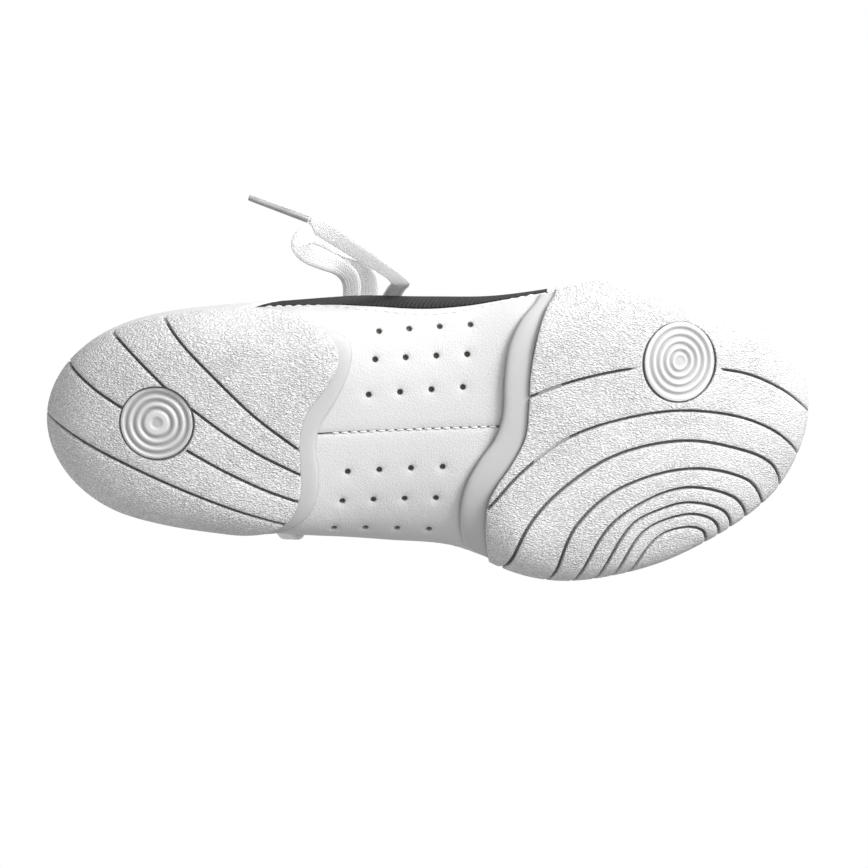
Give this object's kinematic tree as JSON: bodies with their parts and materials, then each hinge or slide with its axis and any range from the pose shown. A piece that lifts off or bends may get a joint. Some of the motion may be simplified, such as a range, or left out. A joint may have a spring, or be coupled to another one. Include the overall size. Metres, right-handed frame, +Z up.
{
  "type": "cheer shoe",
  "caption": "Low-cut lace-up cheer shoe for the left foot, with a split rubber sole, round pivot discs and a flexible perforated arch.",
  "frame": {"origin": "on the floor, under the middle of the shoe's bounding box without its free laces", "axes": "+X from the heel to the toe, +Y to the outer (lateral) side of the left foot, +Z up"},
  "size_m": [0.2716, 0.1348, 0.1056],
  "materials": {
    "white_leather": "smooth coated leather with a fine pebble grain, satin",
    "tongue_leather": "soft padded leather, satin",
    "dark_textile": "dark ribbed woven textile, matte",
    "sole_rubber": "moulded white rubber with a fine rippled pebble texture, matte",
    "midsole_foam": "moulded white EVA foam, smooth skin, satin",
    "pivot_disc": "smooth white rubber with rounded concentric rings, satin",
    "lining_fabric": "knitted textile lining, matte",
    "insole_fabric": "fine woven cover on foam, matte",
    "stiffener_board": "pressed fibre board, matte",
    "lace_weave": "flat woven polyester lace, matte",
    "aglet_plastic": "grey film tip, glossy"
  },
  "bodies": {
    "rear": {"heel_midsole": "midsole_foam", "heel_outsole": "sole_rubber", "heel_pivot_disc": "pivot_disc", "heel_quarter": "white_leather", "medial_arch_wrap": "white_leather", "lateral_arch_wrap": "white_leather", "medial_eyestay": "white_leather", "lateral_eyestay": "white_leather", "heel_tab": "white_leather", "tongue": "tongue_leather", "medial_side_panel": "dark_textile", "lateral_side_panel": "dark_textile", "heel_counter": "stiffener_board", "upper_lining": "lining_fabric", "collar_pad": "lining_fabric", "insole": "insole_fabric", "insole_board": "stiffener_board", "lace_knot": "lace_weave", "lace_bar_1": "lace_weave", "lace_bar_2": "lace_weave", "lace_bar_3": "lace_weave", "lace_bar_4": "lace_weave", "lace_bar_5": "lace_weave", "medial_bow_loop": "lace_weave", "lateral_bow_loop": "lace_weave", "medial_lace_end": "lace_weave", "lateral_lace_end": "lace_weave", "medial_aglet": "aglet_plastic", "lateral_aglet": "aglet_plastic"},
    "forefoot": {"forefoot_midsole": "midsole_foam", "forefoot_outsole": "sole_rubber", "forefoot_pivot_disc": "pivot_disc", "toe_vamp": "white_leather", "toe_cap": "white_leather", "toe_puff": "stiffener_board"},
    "tongue_flap": {"tongue_top_pad": "tongue_leather"}
  },
  "joints": [
    {"name": "arch_flex", "type": "hinge", "parent": "rear", "child": "forefoot", "pos_m": [-0.0122, -0.0028, 0.014], "axis": [0.259, -0.9659, 0], "range_deg": [-20, 12], "stiffness_Nm_per_rad": 2.5, "deforming": ["medial_arch_wrap", "lateral_arch_wrap", "medial_side_panel", "lateral_side_panel", "medial_eyestay", "lateral_eyestay", "upper_lining", "insole_board", "insole", "tongue", "lace_bar_1", "lace_bar_2", "lace_bar_3", "lace_bar_4", "lace_bar_5"]},
    {"name": "tongue_tilt", "type": "hinge", "parent": "rear", "child": "tongue_flap", "pos_m": [-0.0332, -0.0028, 0.08], "axis": [0, 1, 0], "range_deg": [-20, 18], "stiffness_Nm_per_rad": 0.05}
  ]
}
